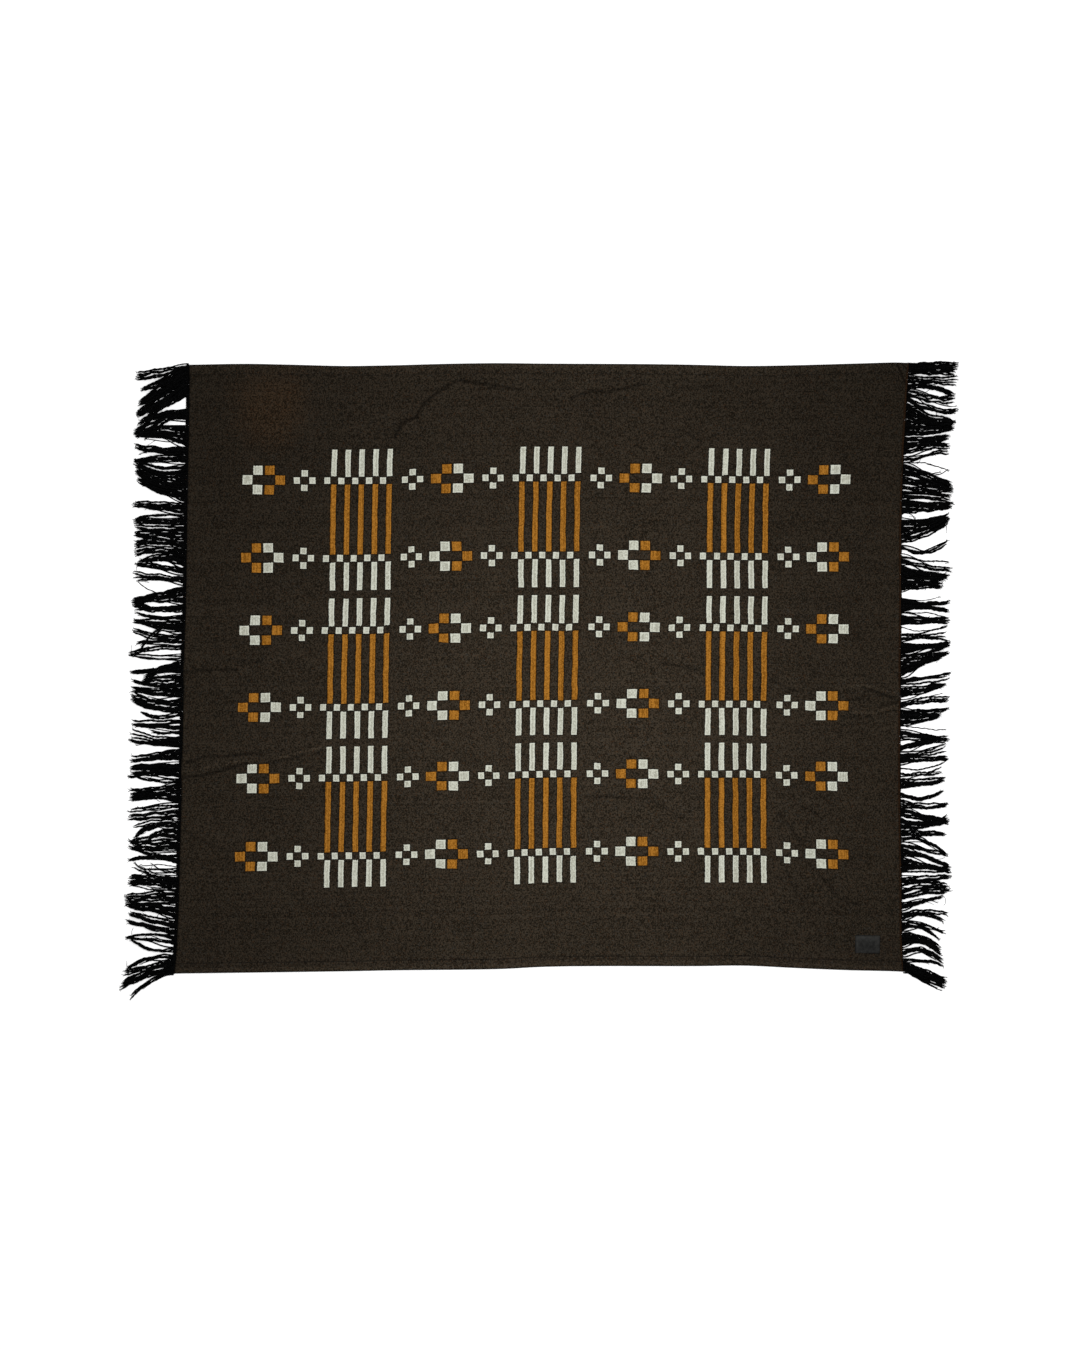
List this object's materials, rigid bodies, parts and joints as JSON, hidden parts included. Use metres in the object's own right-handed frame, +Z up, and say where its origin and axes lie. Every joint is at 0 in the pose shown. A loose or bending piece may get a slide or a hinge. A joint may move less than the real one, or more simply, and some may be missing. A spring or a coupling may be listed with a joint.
{
  "type": "flat fringed woven blanket",
  "caption": "Rectangular woven blanket laid out flat, with hemmed long edges, loose yarn fringe on the short edges and a small bare patch in one corner.",
  "frame": {"origin": "on the floor under the middle of the whole blanket, fringe included", "axes": "+X along the blanket from one fringed edge to the other, towards the edge with the patch; +Y across it, away from the patch; +Z up from the surface it lies on"},
  "size_m": [1.7816, 1.3546, 0.0089],
  "materials": {
    "cloth": "heathered dark brown weave with off-white and ochre bars, checks and rings",
    "fringe": "matt black twisted yarn",
    "patch": "matt charcoal, bare"
  },
  "bodies": {
    "root": {"cloth": "cloth", "fringe_left": "fringe", "fringe_right": "fringe", "patch": "patch"}
  },
  "joints": []
}
